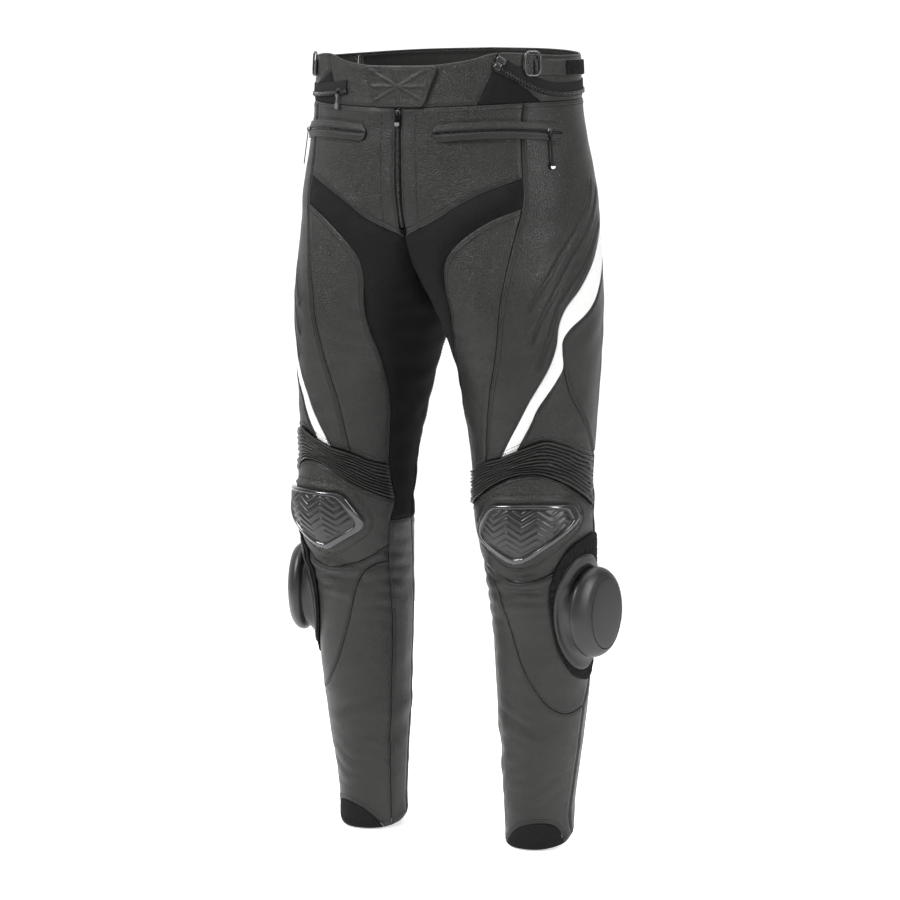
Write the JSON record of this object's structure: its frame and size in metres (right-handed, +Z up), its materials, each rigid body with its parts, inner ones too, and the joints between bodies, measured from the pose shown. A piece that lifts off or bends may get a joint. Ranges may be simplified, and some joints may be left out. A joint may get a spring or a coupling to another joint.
{
  "type": "leather riding trousers",
  "caption": "Panelled leather riding trousers with ribbed knees, knee cups, outer calf sliders and a side flash, open at the waist and hems.",
  "frame": {"origin": "in the middle of the waist, level with the middle of the waistband's height at the front", "axes": "+Z up the garment, -Y out of its front, +X to the wearer's left"},
  "size_m": [0.463, 0.2752, 1.0131],
  "materials": {
    "leather": "semi-gloss grained black leather",
    "white_leather": "smooth white leather",
    "stretch": "matt black woven stretch cloth",
    "lining": "matt dark lining",
    "zip": "black zip tape and teeth",
    "metal": "satin metal",
    "gunmetal": "glossy gunmetal",
    "hook_and_loop": "matt looped pile",
    "puck": "satin moulded plastic"
  },
  "bodies": {
    "trousers": {"adjuster_ring_left": "metal", "adjuster_ring_right": "metal", "adjuster_strap_left": "leather", "adjuster_strap_right": "leather", "back_knee_left": "stretch", "back_knee_right": "stretch", "back_panel_left": "leather", "back_panel_right": "leather", "band_back": "leather", "band_front_left": "leather", "band_front_right": "leather", "band_lining": "lining", "band_side_left": "leather", "band_side_right": "leather", "band_wedge_left": "stretch", "band_wedge_right": "stretch", "calf_back_left": "leather", "calf_back_right": "leather", "calf_inner_left": "leather", "calf_inner_right": "leather", "connection_zip": "zip", "fly_tab": "leather", "fly_zip": "zip", "front_hip_left": "leather", "front_hip_right": "leather", "front_thigh_left": "leather", "front_thigh_right": "leather", "hem_insert_left": "leather", "hem_insert_right": "leather", "inner_stretch_left": "stretch", "inner_stretch_right": "stretch", "knee_cup_left": "gunmetal", "knee_cup_right": "gunmetal", "knee_panel_left": "leather", "knee_panel_right": "leather", "knee_ribs_left": "leather", "knee_ribs_right": "leather", "knee_slider_left": "puck", "knee_slider_right": "puck", "pocket_zip_left": "leather", "pocket_zip_right": "leather", "shin_front_left": "leather", "shin_front_right": "leather", "side_flash_left": "white_leather", "side_flash_right": "white_leather", "side_lower_left": "leather", "side_lower_right": "leather", "side_panel_left": "leather", "side_panel_right": "leather", "side_wedge_left": "leather", "side_wedge_right": "leather", "slider_pad_left": "hook_and_loop", "slider_pad_right": "hook_and_loop", "slider_panel_left": "leather", "slider_panel_right": "leather"},
    "pocket_pull_left": {"pocket_pull_left": "metal"},
    "pocket_pull_right": {"pocket_pull_right": "metal"},
    "fly_pull": {"fly_pull": "metal"},
    "connection_pull": {"connection_pull": "metal"}
  },
  "joints": [
    {"name": "pocket_pull_left_hinge", "type": "hinge", "parent": "trousers", "child": "pocket_pull_left", "pos_m": [0.17029, -0.05536, -0.05338], "axis": [-0.5368, -0.8437, 0], "range_deg": [0, 150]},
    {"name": "pocket_pull_right_hinge", "type": "hinge", "parent": "trousers", "child": "pocket_pull_right", "pos_m": [-0.17029, -0.05536, -0.05338], "axis": [-0.5368, 0.8437, 0], "range_deg": [0, 150]},
    {"name": "fly_pull_hinge", "type": "hinge", "parent": "trousers", "child": "fly_pull", "pos_m": [0, -0.13355, -0.03172], "axis": [-1, 0, 0], "range_deg": [0, 150]},
    {"name": "connection_pull_hinge", "type": "hinge", "parent": "trousers", "child": "connection_pull", "pos_m": [-0.09545, -0.11331, -0.00556], "axis": [-0.9073, 0.4206, 0], "range_deg": [0, 150]}
  ]
}
